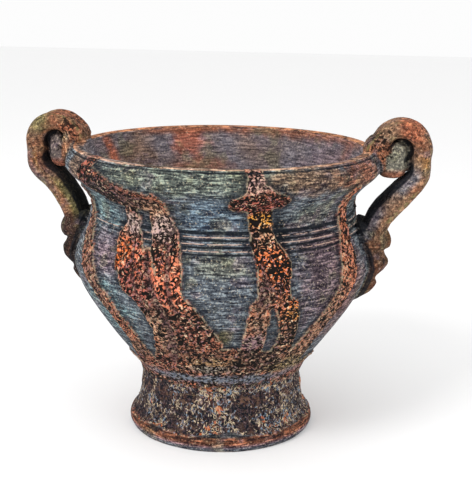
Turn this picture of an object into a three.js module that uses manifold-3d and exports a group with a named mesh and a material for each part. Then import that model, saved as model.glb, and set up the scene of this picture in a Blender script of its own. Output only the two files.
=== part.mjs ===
// A krater: a thick terracotta bowl on a low flared foot, with a heavy rim collar and two
// swan-neck handles that rise over the rim. Crusts of rough slip run down the outside.
// The whole pot is one fired piece. Millimetres, +Z up, handles on the X axis, origin
// under the middle of the foot, and the side that is seen first faces -Y.
import * as THREE from "three";
import { mergeVertices } from "three/addons/utils/BufferGeometryUtils.js";
import Module from "manifold-3d";

// Foot
const FOOT_RADIUS = 98.5;
const FOOT_BAND = 14; // height of the foot's rounded edge
const FOOT_EDGE_ROUND = 3.5;
const STEM_RADIUS = 83.5;
const STEM_NIP = 2; // the stem narrows by this much at its top
const STEM_HEIGHT = 57; // the stem ends and the bowl begins here
const FOOT_RING_WIDTH = 19; // what the pot stands on
const STEM_WALL = 18;

// Bowl, neck and rim
const BELLY_RADIUS = 155;
const BELLY_HEIGHT = 179;
const NECK_RADIUS = 135.5;
const NECK_HEIGHT = 242;
const RIM_HEIGHT = 300;
const COLLAR_RADIUS = 162.5;
const LIP_INSET = 8.5; // the collar leans in by this much up to the lip
const LIP_WIDTH = 12;
const COLLAR_DEPTH = 20; // from the lip down to the collar's lower edge
const NECK_WALL = 11;
const BELLY_WALL = 12.5;
const FLOOR = 14;

// Three tooled rings on the shoulder
const RING_COUNT = 3;
const RING_PITCH = 6.3;
const RING_RELIEF = 1.6;
const RINGS_BELOW_NECK = 5;
const WIPED_AT = -58; // degrees round from the front, where all but the top ring were wiped away
const WIPED_HALF = 20; // degrees to either side of it

// Handles
const HANDLE_WIDTH = 44;
const HANDLE_THICKNESS = 20;
const RIGHT_RISE = 33.5; // above the lip
const RIGHT_REACH = 51; // beyond the collar
const RIGHT_ROOT_THICKNESS = 27;
const RIGHT_SAG = 1; // the rising strap curves in towards the neck by this much
const LEFT_RISE = 31; // the left loop is the smaller one
const LEFT_REACH = 45.5;
const LEFT_ROOT_THICKNESS = 24;
const LEFT_SAG = 4.3;
const LOOP_RADIUS = 22; // of the loop's middle line
const HANDLE_ROOT_HEIGHT = 207;
const ROOT_TURN = 4; // the strap leaves the belly on a curve of about this size
const HANDLE_CHANNEL = 2.5; // hollow along the outer face
const ROOT_FLARE = 8; // added to the width where the strap meets the belly
const LANDING_WIDTH = 43;
const LANDING_THICKNESS = 29;
const LANDING_OVERLAP = 2; // into the mouth, where it is cut back flush
const TONGUE_WIDTH = 42;
const TONGUE_SINK = 5; // into the collar
const TONGUE_DROP = 27.5; // below the lip
const TONGUE_SLOT = 5.5; // between the tongue and the strap's outer leg
const TONGUE_ARCH = 3; // open height over the tongue
const WEB_WIDTH = 11; // of the clay that closes the slot halfway in
const WEB_RISE = 5; // of the web's lower end above the tongue's
const WEB_OVERLAP = 1.5; // into the strap

// Leaf under each handle
const LEAF_LENGTH = 86;
const LEAF_WIDTH = 58;
const LEAF_PROUD = 29.5; // how far the top lobe stands off the belly
const LEAF_ABOVE_ROOT = 17;

// Crusts
const CRUST_THICKNESS = 3.2;
const CRUST_EDGE = 5; // width of a crust's sloping edge
const COAT_HEIGHT = 30; // of the coat round the bottom of the bowl, above the stem
const LIP_FADE = 8; // the crusts die away over this much below the lip

const CUT_PAST = 5; // how far a cut runs past the face it opens

const DEG = Math.PI / 180;
const COLUMNS = 76;
const FRONT_CROWDING = 0.35; // columns lie closer at the front, where the crusts are finest
const CAVITY_COLUMNS = 40;

// The bowl's curve, as shares of the way from the stem up to and out to the belly.
const BOWL_CURVE = [[0, 0], [0.12, 0.075], [0.31, 0.335], [0.6, 0.678], [0.83, 0.9], [1, 1]];
const BOWL_STEPS = 11;

// Crusts of slip, each a run of stations: degrees round from the front towards +X,
// height as a share of the rim's, and half width in millimetres.
const CRUSTS = [
  // forked trunk, right of the middle, with its cross bar
  [[18.5, 1, 8], [18.5, 0.93, 9.5], [21.5, 0.87, 12], [23, 0.8, 12], [24, 0.745, 13.5],
   [27, 0.693, 17.5], [26, 0.62, 16], [26, 0.56, 20]],
  [[12.5, 0.89, 8], [20, 0.91, 15.5], [28.7, 0.898, 7.5]],
  [[21.5, 0.56, 11], [21.2, 0.46, 11], [21, 0.39, 12], [22, 0.28, 14]],
  [[32, 0.56, 11], [35, 0.46, 12], [36.5, 0.38, 12], [37, 0.28, 18]],
  // bank in which the runs of the front end
  [[0, 0.345, 15], [11, 0.357, 15], [22, 0.35, 15], [40, 0.325, 14]],
  // smear from the left of the rim, and the two runs that drip from it
  [[-46, 0.985, 9], [-46, 0.94, 13], [-38, 0.91, 15], [-28, 0.89, 13], [-19, 0.885, 9]],
  [[-29.5, 0.87, 8], [-30, 0.8, 9], [-31, 0.743, 16], [-28.8, 0.69, 17], [-25.2, 0.63, 14],
   [-21.2, 0.583, 10], [-18.3, 0.523, 9], [-16.7, 0.463, 9], [-18, 0.4, 9.5], [-23, 0.3, 14]],
  [[-17, 0.88, 11], [-17, 0.827, 11], [-15.5, 0.787, 13.5], [-14, 0.737, 15], [-12, 0.697, 13],
   [-10.7, 0.633, 13], [-9.8, 0.583, 13], [-6, 0.53, 16], [-3.5, 0.48, 19], [-1.5, 0.42, 22],
   [-4, 0.32, 34]],
  // thin film between those two runs
  [[-21.5, 0.72, 5.5], [-17.7, 0.62, 8], [-14.2, 0.54, 8], [-12.3, 0.45, 9], [-14, 0.38, 9]],
  // thin run at the left, broad run at the right
  [[-61, 0.87, 6], [-62.5, 0.8, 8.5], [-61, 0.74, 11], [-55.5, 0.677, 11], [-48, 0.613, 11],
   [-42, 0.55, 10.5], [-37.5, 0.463, 9.5], [-36, 0.39, 10], [-36, 0.3, 17]],
  [[62, 0.9, 8], [66, 0.81, 9], [66, 0.75, 10], [63.5, 0.68, 13], [60.5, 0.62, 13],
   [57, 0.56, 13], [53, 0.48, 12], [50, 0.4, 13], [47, 0.3, 18]],
  // plainer runs round the back
  [[102, 0.9, 9], [100, 0.8, 9], [105, 0.71, 14], [110, 0.6, 11], [112, 0.48, 13], [107, 0.3, 15]],
  [[150, 1, 8], [151, 0.92, 10], [147, 0.87, 15], [150, 0.79, 11], [153, 0.69, 16],
   [148, 0.58, 12], [151, 0.46, 14], [149, 0.3, 22]],
  [[196, 0.88, 10], [197, 0.75, 12], [201, 0.66, 15], [203, 0.55, 10], [208, 0.43, 12], [209, 0.3, 18]],
  [[243, 0.89, 10], [244, 0.78, 10], [248, 0.68, 14], [250, 0.57, 10], [256, 0.43, 12], [259, 0.3, 16]],
];
// The bare valley between the legs of the trunk, in the same terms.
const VALLEY = [[26.5, 0.55, 3], [30, 0.42, 4.5]];

const clamp = THREE.MathUtils.clamp;
const lerp = THREE.MathUtils.lerp;
const smooth = (t) => THREE.MathUtils.smoothstep(t, 0, 1);

const wasm = await Module();
wasm.setup();

// A closed geometry as a solid that can be joined and cut.
function solid(geometry) {
  const bare = new THREE.BufferGeometry().setAttribute("position", geometry.getAttribute("position"));
  bare.setIndex(geometry.getIndex());
  const merged = mergeVertices(bare, 1e-3);
  return new wasm.Manifold(
    new wasm.Mesh({
      numProp: 3,
      vertProperties: merged.attributes.position.array,
      triVerts: new Uint32Array(merged.index.array),
    }),
  );
}

// A solid as a geometry again.
function geometryOf(made) {
  const mesh = made.getMesh();
  return new THREE.BufferGeometry()
    .setAttribute("position", new THREE.BufferAttribute(mesh.vertProperties, 3))
    .setIndex(new THREE.BufferAttribute(mesh.triVerts, 1));
}

const LIP_RADIUS = COLLAR_RADIUS - LIP_INSET;
const RINGS_TOP = NECK_HEIGHT - RINGS_BELOW_NECK;

// The outside, from the foot up to the lip, as [radius, height] stations.
function outsideStations() {
  const collarEdge = RIM_HEIGHT - COLLAR_DEPTH;
  const bandTop = FOOT_RADIUS - FOOT_EDGE_ROUND;
  const flare = bandTop - STEM_RADIUS;
  const stemRise = STEM_HEIGHT - FOOT_BAND;
  const joint = STEM_RADIUS - STEM_NIP;
  const shoulder = (t) => lerp(BELLY_RADIUS, NECK_RADIUS, smooth(t));
  const under = (t) => lerp(NECK_RADIUS, COLLAR_RADIUS, t);
  const stations = [
    [FOOT_RADIUS - FOOT_EDGE_ROUND * 0.7, 0],
    [FOOT_RADIUS, FOOT_BAND * 0.38],
    [FOOT_RADIUS - FOOT_EDGE_ROUND * 0.2, FOOT_BAND * 0.75],
    [bandTop, FOOT_BAND],
    [STEM_RADIUS + flare * 0.4, FOOT_BAND + stemRise * 0.14],
    [STEM_RADIUS + flare * 0.12, FOOT_BAND + stemRise * 0.38],
    [STEM_RADIUS, FOOT_BAND + stemRise * 0.7],
    [joint, STEM_HEIGHT],
  ];
  const bowl = new THREE.SplineCurve(BOWL_CURVE.map(([up, out]) => new THREE.Vector2(up, out)));
  for (const { x: up, y: out } of bowl.getSpacedPoints(BOWL_STEPS).slice(1))
    stations.push([lerp(joint, BELLY_RADIUS, out), lerp(STEM_HEIGHT, BELLY_HEIGHT, up)]);
  for (const t of [0.2, 0.4, 0.56])
    stations.push([shoulder(t), lerp(BELLY_HEIGHT, NECK_HEIGHT, t)]);
  for (let i = 2 * RING_COUNT; i >= 0; i--) {
    const z = RINGS_TOP - (i * RING_PITCH) / 2;
    stations.push([shoulder((z - BELLY_HEIGHT) / (NECK_HEIGHT - BELLY_HEIGHT)), z]);
  }
  stations.push([NECK_RADIUS, NECK_HEIGHT]);
  for (const [up, out] of [[0.3, 0.12], [0.58, 0.42], [0.85, 0.83], [1, 1]])
    stations.push([under(out), lerp(NECK_HEIGHT, collarEdge, up)]);
  for (const [up, out] of [[0.35, 0.04], [0.7, 0.42], [1, 1]])
    stations.push([lerp(COLLAR_RADIUS, LIP_RADIUS, out), lerp(collarEdge, RIM_HEIGHT, up)]);
  return stations;
}

const OUTSIDE = outsideStations();

// The outside's radius at a height.
function radiusAt(z) {
  let i = 1;
  while (i < OUTSIDE.length - 1 && OUTSIDE[i][1] < z) i++;
  const [[r0, z0], [r1, z1]] = [OUTSIDE[i - 1], OUTSIDE[i]];
  return lerp(r0, r1, clamp((z - z0) / (z1 - z0), 0, 1));
}

// Degrees from one angle round to another, the short way.
function turnTo(from, to) {
  return THREE.MathUtils.euclideanModulo(to - from + 180, 360) - 180;
}

// How deep inside a run of stations a point of the surface lies, in millimetres.
function depthInRun(run, angle, z) {
  const turn = radiusAt(z) * DEG;
  const start = run[0][0];
  const toStart = turnTo(angle, start);
  const local = run.map(([a, share, half]) => {
    const apart = toStart + a - start;
    return [apart * turn, share * RIM_HEIGHT - z, half];
  });
  let deepest = -Infinity;
  for (let i = 1; i < local.length; i++) {
    const [[x0, y0, h0], [x1, y1, h1]] = [local[i - 1], local[i]];
    const [dx, dy] = [x1 - x0, y1 - y0];
    const t = clamp(-(x0 * dx + y0 * dy) / (dx * dx + dy * dy), 0, 1);
    deepest = Math.max(deepest, lerp(h0, h1, t) - Math.hypot(x0 + dx * t, y0 + dy * t));
  }
  return deepest;
}

// The rough coat round the bottom of the bowl and down the stem.
function depthInCoat(angle, z) {
  const a = angle * DEG;
  const top = STEM_HEIGHT + COAT_HEIGHT + 4 * Math.sin(2 * a + 0.6) + 3 * Math.sin(5 * a + 1.9);
  const foot = FOOT_BAND + 1 + 1.5 * Math.sin(7 * a) + 1.5 * Math.sin(3 * a + 1);
  return Math.min(top - z, z - foot);
}

// The height of the crust over the bare clay, from 0 to CRUST_THICKNESS.
function crustAt(angle, z) {
  let depth = depthInCoat(angle, z);
  for (const run of CRUSTS) depth = Math.max(depth, depthInRun(run, angle, z));
  depth = Math.min(depth, -depthInRun(VALLEY, angle, z));
  const lipFade = smooth((RIM_HEIGHT - z) / LIP_FADE);
  return CRUST_THICKNESS * smooth(depth / CRUST_EDGE + 0.5) * lipFade;
}

// The tooled rings' relief.
function ringAt(angle, z) {
  const down = (RINGS_TOP - z) / RING_PITCH;
  if (down <= 0 || down >= RING_COUNT) return 0;
  const wiped = down > 1 && Math.abs(turnTo(angle, WIPED_AT)) < WIPED_HALF;
  return wiped ? 0 : RING_RELIEF * Math.sin(down * Math.PI) ** 2;
}

// A lathe about +Z from [radius, height] stations that start and end on the axis.
function lathe(stations, columns) {
  const points = stations.map(([r, z]) => new THREE.Vector2(r, z));
  return new THREE.LatheGeometry(points, columns).rotateX(Math.PI / 2);
}

// The outside as a filled solid: a lathe whose columns crowd to the front. It rises in the
// crusts, and in the rings where no crust hides them.
function outsideSolid() {
  const geometry = lathe([[0, 0], ...OUTSIDE, [0, RIM_HEIGHT]], COLUMNS);
  const position = geometry.getAttribute("position");
  for (let i = 0; i < position.count; i++) {
    const [x, y, z] = [position.getX(i), position.getY(i), position.getZ(i)];
    const radius = Math.hypot(x, y);
    if (radius < 1) continue;
    const fromBack = Math.atan2(x, y);
    const turn = fromBack + FRONT_CROWDING * Math.sin(fromBack);
    const angle = 180 - turn / DEG;
    const grown = radius + Math.max(crustAt(angle, z), ringAt(angle, z));
    position.setXYZ(i, grown * Math.sin(turn), grown * Math.cos(turn), z);
  }
  return solid(geometry);
}

// The hollow of the bowl: the outside drawn in by the wall, open through the lip.
function cavitySolid() {
  const floorHeight = STEM_HEIGHT + FLOOR;
  const mouth = LIP_RADIUS - LIP_WIDTH;
  const neck = NECK_RADIUS - NECK_WALL;
  const stations = [[0, floorHeight], [radiusAt(floorHeight) * 0.72, floorHeight + 1]];
  for (const t of [0.1, 0.22, 0.42, 0.65, 0.85, 1]) {
    const z = lerp(floorHeight, BELLY_HEIGHT, t);
    stations.push([radiusAt(z) - BELLY_WALL, z]);
  }
  stations.push([(BELLY_RADIUS - BELLY_WALL + neck) / 2, (BELLY_HEIGHT + NECK_HEIGHT) / 2]);
  stations.push([neck, NECK_HEIGHT]);
  stations.push([lerp(neck, mouth, 0.35), lerp(NECK_HEIGHT, RIM_HEIGHT, 0.45)]);
  stations.push([mouth, RIM_HEIGHT - LIP_WIDTH / 3]);
  const above = RIM_HEIGHT + Math.max(LEFT_RISE, RIGHT_RISE) + CUT_PAST;
  return solid(lathe([...stations, [mouth, above], [0, above]], CAVITY_COLUMNS));
}

// The hollow under the floor, inside the foot ring.
function footHollowSolid() {
  const ceiling = STEM_HEIGHT - FLOOR;
  const mouth = FOOT_RADIUS - FOOT_EDGE_ROUND - FOOT_RING_WIDTH;
  const top = STEM_RADIUS - STEM_WALL;
  const stations = [[0, -CUT_PAST], [mouth, -CUT_PAST], [mouth, 0]];
  stations.push([top, ceiling * 0.75], [top * 0.9, ceiling], [0, ceiling]);
  return solid(lathe(stations, CAVITY_COLUMNS));
}

// Rings of points joined into a closed skin, with flat ends.
function loft(rings) {
  const sides = rings[0].length;
  const positions = rings.flat().flatMap((p) => [p.x, p.y, p.z]);
  const index = [];
  for (let i = 0; i + 1 < rings.length; i++)
    for (let j = 0; j < sides; j++) {
      const [a, b] = [i * sides + j, i * sides + ((j + 1) % sides)];
      index.push(a, a + sides, b, b, a + sides, b + sides);
    }
  const last = (rings.length - 1) * sides;
  for (let j = 1; j + 1 < sides; j++) {
    index.push(0, j, j + 1);
    index.push(last, last + j + 1, last + j);
  }
  const geometry = new THREE.BufferGeometry();
  geometry.setAttribute("position", new THREE.BufferAttribute(new Float32Array(positions), 3));
  return geometry.setIndex(index);
}

// The handle's middle line on the +X side, from the belly over the loop down into the rim.
function handleLine({ reach, rise, sag }) {
  const loopX = loopCentreX(reach);
  const loopZ = loopCentreZ(rise);
  const wall = radiusAt(HANDLE_ROOT_HEIGHT);
  const buried = new THREE.Vector3(wall - BELLY_WALL * 0.7, 0, HANDLE_ROOT_HEIGHT - ROOT_TURN);
  const root = new THREE.Vector3(wall + ROOT_TURN, 0, HANDLE_ROOT_HEIGHT);
  const lower = new THREE.Vector3(loopX + LOOP_RADIUS * 0.87, 0, loopZ - LOOP_RADIUS * 1.15);
  const points = [buried, root];
  for (const t of [0.34, 0.68]) {
    const p = root.clone().lerp(lower, t);
    points.push(p.add(new THREE.Vector3(-sag, 0, sag)));
  }
  points.push(lower);
  for (let turn = -18; turn <= 165; turn += 30.5) {
    const x = loopX + LOOP_RADIUS * Math.cos(turn * DEG);
    points.push(new THREE.Vector3(x, 0, loopZ + LOOP_RADIUS * Math.sin(turn * DEG)));
  }
  const landing = LIP_RADIUS - LIP_WIDTH - LANDING_OVERLAP + LANDING_THICKNESS / 2;
  points.push(new THREE.Vector3(landing + LANDING_OVERLAP, 0, RIM_HEIGHT + 3));
  points.push(new THREE.Vector3(landing, 0, RIM_HEIGHT - 10));
  return new THREE.CatmullRomCurve3(points, false, "centripetal");
}

function loopCentreX(reach) {
  return COLLAR_RADIUS + reach - HANDLE_THICKNESS / 2 - LOOP_RADIUS;
}

function loopCentreZ(rise) {
  return RIM_HEIGHT + rise - HANDLE_THICKNESS / 2 - LOOP_RADIUS;
}

// A rounded oblong with a shallow channel along its outer face.
function handleSection(centre, outward, width, thickness, channel) {
  const round = (v) => Math.sign(v) * Math.abs(v) ** 0.72;
  const sides = 12;
  return Array.from({ length: sides }, (_, j) => {
    const turn = (j / sides) * 2 * Math.PI;
    const across = (width / 2) * round(Math.cos(turn));
    const dip = j === 3 ? channel : 0;
    const out = (thickness / 2) * round(Math.sin(turn)) - dip;
    return centre.clone().addScaledVector(outward, out).add(new THREE.Vector3(0, across, 0));
  });
}

function handleSolid(handle) {
  const line = handleLine(handle);
  const steps = 19;
  const rings = [];
  for (let i = 0; i <= steps; i++) {
    const t = i / steps;
    const centre = line.getPointAt(t);
    const along = line.getTangentAt(t);
    const outward = new THREE.Vector3(along.z, 0, -along.x);
    const root = 1 - smooth(t / 0.16);
    const landing = smooth((t - 0.84) / 0.16);
    const width = lerp(HANDLE_WIDTH, LANDING_WIDTH, landing) + ROOT_FLARE * root;
    const strap = lerp(handle.root, HANDLE_THICKNESS, smooth((t - 0.33) / 0.22));
    const thickness = lerp(strap, LANDING_THICKNESS, landing);
    const channel = HANDLE_CHANNEL * (1 - root) * (1 - landing);
    rings.push(handleSection(centre, outward, width, thickness, channel));
  }
  return solid(loft(rings));
}

// A ball made fuller towards a block, between two distances from the axis and two heights.
function fullBall(inside, outside, width, bottom, top) {
  const ball = new THREE.SphereGeometry(1, 12, 8).rotateX(Math.PI / 2);
  const position = ball.getAttribute("position");
  for (let i = 0; i < position.count; i++) {
    const p = new THREE.Vector3().fromBufferAttribute(position, i);
    const fuller = (Math.abs(p.x) ** 3 + Math.abs(p.y) ** 3 + Math.abs(p.z) ** 3) ** (-1 / 3);
    position.setXYZ(i, p.x * fuller, p.y * fuller, p.z * fuller);
  }
  ball.scale((outside - inside) / 2, width / 2, (top - bottom) / 2);
  return solid(ball.translate((outside + inside) / 2, 0, (top + bottom) / 2));
}

// The handle's free end, which curls down inside the loop and is pressed onto the outside of
// the collar. A slot parts it from the strap's outer leg, and a web closes the slot halfway in.
function tongueSolid({ reach, rise }) {
  const inside = COLLAR_RADIUS - TONGUE_SINK;
  const hole = LOOP_RADIUS - HANDLE_THICKNESS / 2;
  const outside = loopCentreX(reach) + hole;
  const top = loopCentreZ(rise) + hole;
  const bottom = RIM_HEIGHT - TONGUE_DROP;
  const web = fullBall(inside, outside + WEB_OVERLAP, WEB_WIDTH, bottom + WEB_RISE, top + WEB_OVERLAP);
  return fullBall(inside, outside - TONGUE_SLOT, TONGUE_WIDTH, bottom, top - TONGUE_ARCH).add(web);
}

// The leaf's stations from top to tip: share of its length, of how far it stands off,
// and of its width. Each of its three tiers swells and is nipped in below.
const LEAF_TIERS = [
  [0, 0.72, 0.6], [0.05, 0.97, 0.86], [0.17, 1, 1], [0.275, 0.85, 0.97], [0.34, 0.58, 0.78],
  [0.39, 0.61, 0.84], [0.455, 0.66, 0.92], [0.56, 0.56, 0.88], [0.675, 0.38, 0.66],
  [0.75, 0.5, 0.6], [0.84, 0.46, 0.54], [0.925, 0.26, 0.38], [1, 0.03, 0.14],
];

// A lobed leaf that hangs from the handle's root and lies on the belly.
function leafSolid() {
  const top = HANDLE_ROOT_HEIGHT + LEAF_ABOVE_ROOT;
  const across = 10;
  const rings = LEAF_TIERS.map(([down, proud, width]) => {
    const half = (LEAF_WIDTH / 2) * width;
    const ring = [];
    for (let j = 0; j <= across; j++) {
      const v = (2 * j) / across - 1;
      const lobe = Math.abs(Math.cos(1.5 * Math.PI * v));
      const round = Math.sqrt(1 - 0.94 * v * v) * lerp(0.84, 1, lobe);
      const z = top - LEAF_LENGTH * down + 5 * v * v;
      ring.push(new THREE.Vector3(radiusAt(z) + LEAF_PROUD * proud * round - 1, v * half, z));
    }
    const z = top - LEAF_LENGTH * down;
    const back = radiusAt(z) - BELLY_WALL / 2;
    ring.push(new THREE.Vector3(back, 0.7 * half, z), new THREE.Vector3(back, -0.7 * half, z));
    return ring;
  });
  return solid(loft(rings));
}

// Everything luted on at the +X side, for a handle of the given measures.
function fittings(handle) {
  return handleSolid(handle).add(tongueSolid(handle)).add(leafSolid());
}

const RIGHT = { reach: RIGHT_REACH, rise: RIGHT_RISE, root: RIGHT_ROOT_THICKNESS, sag: RIGHT_SAG };
const LEFT = { reach: LEFT_REACH, rise: LEFT_RISE, root: LEFT_ROOT_THICKNESS, sag: LEFT_SAG };

function kraterSolid() {
  const right = fittings(RIGHT);
  const left = fittings(LEFT).rotate([0, 0, 180]);
  return outsideSolid().add(right).add(left).subtract(cavitySolid()).subtract(footHollowSolid());
}

const terracotta = new THREE.MeshStandardMaterial({ color: 0x6b5a4e, roughness: 0.86, metalness: 0 });
const krater = new THREE.Mesh(geometryOf(kraterSolid()), terracotta);
krater.name = "krater";

const part = new THREE.Group();
part.add(krater);
export default part;
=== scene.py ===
# %% [markdown]
# # A krater under crusted slip
#
# The object is one fired pot: a thick bowl on a low flared foot, with a heavy rim collar and two
# swan-neck handles that rise over the rim. Runs of thick slip were let down its outside, and the
# whole pot was painted dark, then brushed with pale, orange and cream paint.
#
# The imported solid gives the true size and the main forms. This lesson makes one finer mesh that
# stands for it, with lumpy crusts and tooled lines, and one painted clay material for it.

import math

import bpy
import numpy as np
from mathutils import Matrix, Vector, noise


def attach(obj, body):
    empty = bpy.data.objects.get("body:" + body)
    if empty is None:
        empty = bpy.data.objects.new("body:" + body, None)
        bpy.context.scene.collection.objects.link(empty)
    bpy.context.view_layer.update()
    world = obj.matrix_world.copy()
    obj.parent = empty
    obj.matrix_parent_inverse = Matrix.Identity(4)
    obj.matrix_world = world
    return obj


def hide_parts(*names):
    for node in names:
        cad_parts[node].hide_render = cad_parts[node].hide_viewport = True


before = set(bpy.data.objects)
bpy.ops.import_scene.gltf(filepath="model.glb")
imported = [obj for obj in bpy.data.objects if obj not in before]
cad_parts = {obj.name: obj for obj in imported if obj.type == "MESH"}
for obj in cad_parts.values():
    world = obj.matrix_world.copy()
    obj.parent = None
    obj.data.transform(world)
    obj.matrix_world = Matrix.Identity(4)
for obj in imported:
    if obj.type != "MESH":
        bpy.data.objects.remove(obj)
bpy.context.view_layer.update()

# %% [markdown]
# ## Sizes
#
# A potter measures in millimetres, so the sizes are written in millimetres and a mesh is brought to
# metres when it is made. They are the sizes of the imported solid, to which the finer mesh adds detail.
# Only the right strap differs: it bows in by some 3 mm more, low down, as the photograph shows.

# %% Sizes of the pot, in millimetres
MM = 0.001

FOOT_RADIUS = 98.5
FOOT_BAND = 14
FOOT_EDGE_ROUND = 3.5
STEM_RADIUS = 83.5
STEM_TOP_RADIUS = 81.5
STEM_HEIGHT = 57
FOOT_RING_WIDTH = 19
STEM_WALL = 18
BELLY_RADIUS = 155
BELLY_HEIGHT = 179
NECK_RADIUS = 135.5
NECK_HEIGHT = 242
RIM_HEIGHT = 300
COLLAR_RADIUS = 162.5
COLLAR_DEPTH = 20
LIP_RADIUS = 154
LIP_WIDTH = 12
NECK_WALL = 11
BELLY_WALL = 12.5
FLOOR = 14
BOWL_CURVE = [(0, 0), (0.12, 0.075), (0.31, 0.335), (0.6, 0.678), (0.83, 0.9), (1, 1)]

RING_COUNT = 3
RING_PITCH = 6.3
RING_RELIEF = 1.6
RINGS_TOP = 237

HANDLE_WIDTH = 44
HANDLE_THICKNESS = 20
RIGHT = {"side": 1, "reach": 51, "rise": 33.5, "root": 27, "sag": (3.3, 1.6)}
LEFT = {"side": -1, "reach": 45.5, "rise": 31, "root": 24, "sag": (4.3, 4.3)}
LOOP_RADIUS = 22
HANDLE_ROOT_HEIGHT = 207
ROOT_TURN = 4
HANDLE_CHANNEL = 2.5
ROOT_FLARE = 8
LANDING_WIDTH = 43
LANDING_THICKNESS = 29
LANDING_OVERLAP = 2
TONGUE_WIDTH = 42
TONGUE_SINK = 5
TONGUE_DROP = 27.5
TONGUE_SLOT = 5.5
TONGUE_ARCH = 3
WEB_WIDTH = 11
WEB_RISE = 5
WEB_OVERLAP = 1.5
LEAF_LENGTH = 86
LEAF_WIDTH = 58
LEAF_PROUD = 29.5
LEAF_ABOVE_ROOT = 17

CRUST_THICKNESS = 3.2
COAT_HEIGHT = 30

# %% [markdown]
# ## The outline
#
# A thrown pot is an outline turned about its axis. The outline is written as a few points where its
# direction is decided, with a smooth curve drawn through them, and it breaks only at the edges that
# the real pot has: the top of the foot's band, the foot of the bowl, the collar and the lip.

# %% Curves through a few points
def smooth(t):
    """An even step from 0 to 1 while t goes from 0 to 1."""
    t = np.clip(t, 0, 1)
    return t * t * (3 - 2 * t)


def lerp(a, b, t):
    return a + (b - a) * t


def evenly(path, count):
    """count points spaced evenly along a path."""
    path = np.asarray(path, float)
    lengths = np.linalg.norm(np.diff(path, axis=0), axis=1)
    travelled = np.concatenate([[0], np.cumsum(lengths)])
    wanted = np.linspace(0, travelled[-1], count)
    return np.stack([np.interp(wanted, travelled, path[:, k]) for k in range(path.shape[1])], axis=1)


def curve_through(points, count):
    """A smooth curve through the points, as count evenly spaced points."""
    p = np.asarray(points, float)
    p = np.vstack([2 * p[0] - p[1], p, 2 * p[-1] - p[-2]])
    knots = np.concatenate([[0], np.cumsum(np.linalg.norm(np.diff(p, axis=0), axis=1) ** 0.5)])
    path = []
    for i in range(1, len(p) - 2):
        t0, t1, t2, t3 = knots[i - 1 : i + 3]
        for t in np.linspace(t1, t2, 25)[:-1]:
            a1 = lerp(p[i - 1], p[i], (t - t0) / (t1 - t0))
            a2 = lerp(p[i], p[i + 1], (t - t1) / (t2 - t1))
            a3 = lerp(p[i + 1], p[i + 2], (t - t2) / (t3 - t2))
            b1 = lerp(a1, a2, (t - t0) / (t2 - t0))
            b2 = lerp(a2, a3, (t - t1) / (t3 - t1))
            path.append(lerp(b1, b2, (t - t1) / (t2 - t1)))
    path.append(p[-2])
    return evenly(path, count)


# %% The outside, from the foot up to the lip
def shoulder(z):
    """The radius between the belly and the neck."""
    return lerp(BELLY_RADIUS, NECK_RADIUS, smooth((z - BELLY_HEIGHT) / (NECK_HEIGHT - BELLY_HEIGHT)))


def points_between(start, end, shares):
    """Points on the way from start to end, each by its share of the way up and of the way out."""
    return [(lerp(start[0], end[0], out), lerp(start[1], end[1], up)) for up, out in shares]


def outside_rows():
    """Rows of [radius, height]. Rows lie closest where the rings and the collar's grooves are."""
    band_top = (FOOT_RADIUS - FOOT_EDGE_ROUND, FOOT_BAND)
    stem_top = (STEM_TOP_RADIUS, STEM_HEIGHT)
    collar_edge = (COLLAR_RADIUS, RIM_HEIGHT - COLLAR_DEPTH)
    band = points_between((FOOT_RADIUS, 0), band_top, [(0, 0.7), (0.38, 0), (0.75, 0.2), (1, 1)])
    flare = [(0, 1), (0.14, 0.4), (0.38, 0.12), (0.7, 0)]
    stem = points_between((STEM_RADIUS, FOOT_BAND), (band_top[0], STEM_HEIGHT), flare) + [stem_top]
    bowl = points_between(stem_top, (BELLY_RADIUS, BELLY_HEIGHT), BOWL_CURVE)
    rings_foot = RINGS_TOP - RING_COUNT * RING_PITCH
    heights = np.concatenate([
        np.linspace(BELLY_HEIGHT, rings_foot, 16)[1:],
        np.linspace(rings_foot, RINGS_TOP, 25)[1:],
        np.linspace(RINGS_TOP, NECK_HEIGHT, 4)[1:],
    ])
    hollow_curve = [(0, 0), (0.3, 0.12), (0.58, 0.42), (0.85, 0.83), (1, 1)]
    under = points_between((NECK_RADIUS, NECK_HEIGHT), collar_edge, hollow_curve)
    rounded_edge = [(0, 0), (0.35, 0.04), (0.7, 0.42), (1, 1)]
    collar = points_between(collar_edge, (LIP_RADIUS, RIM_HEIGHT), rounded_edge)
    return np.vstack([
        curve_through(band, 9),
        curve_through(stem, 22)[1:],
        curve_through(bowl, 60)[1:],
        np.stack([shoulder(heights), heights], axis=1),
        curve_through(under, 18)[1:],
        curve_through(collar, 22)[1:],
    ])


OUTSIDE = outside_rows()


def radius_at(z):
    """The outside's radius at a height, before any crust."""
    return np.interp(z, OUTSIDE[:, 1], OUTSIDE[:, 0])


print("outline:", len(OUTSIDE), "rows, widest", OUTSIDE[:, 0].max(), "mm")

# %% [markdown]
# ## Where the slip ran
#
# The crusts are what the pot is known by: a forked trunk with a cross bar right of the middle, two
# runs that drip from a smear at the left of the rim, thin runs at the sides and plainer ones behind.
# A run is a chain of stations: degrees round from the front towards +X, height as a share of the
# rim's, and half width in millimetres. A point's depth inside its nearest run shapes the crust, its
# rim and the paint along its edge, so they can't drift apart.

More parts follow.
